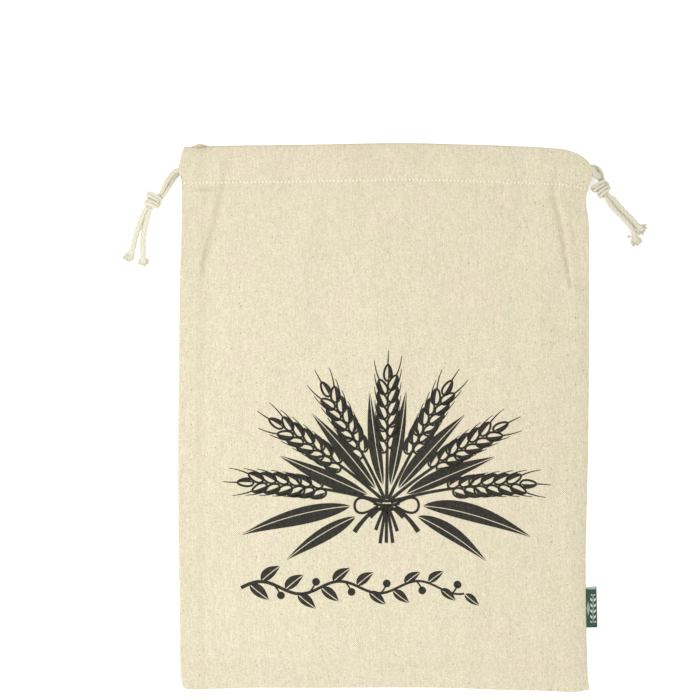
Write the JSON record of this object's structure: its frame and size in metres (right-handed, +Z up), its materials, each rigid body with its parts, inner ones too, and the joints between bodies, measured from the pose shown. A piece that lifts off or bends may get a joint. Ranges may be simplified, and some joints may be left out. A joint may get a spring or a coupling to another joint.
{
  "type": "drawstring bread bag",
  "caption": "Flat, empty drawstring bag of unbleached cotton for bread, with a stitched cord tunnel at its mouth, knotted cords at both sides and a folded label in one side seam.",
  "frame": {"origin": "on the surface the bag lies on, under the middle of the bag and its label, cords not counted", "axes": "+X across the bag to the label's side, +Y along the bag from its bottom seam to its mouth, +Z up out of the front"},
  "size_m": [0.3834, 0.4035, 0.0146],
  "materials": {
    "printed_cotton": "unbleached plain-weave cotton, matte, with a dark printed design",
    "plain_cotton": "unbleached plain-weave cotton, matte",
    "cotton_cord": "soft braided cotton cord, matte",
    "woven_label": "woven green label tape, low sheen"
  },
  "bodies": {
    "root": {"front_panel": "printed_cotton", "back_panel": "plain_cotton", "drawcord_left": "cotton_cord", "drawcord_right": "cotton_cord", "side_label": "woven_label"}
  },
  "joints": []
}
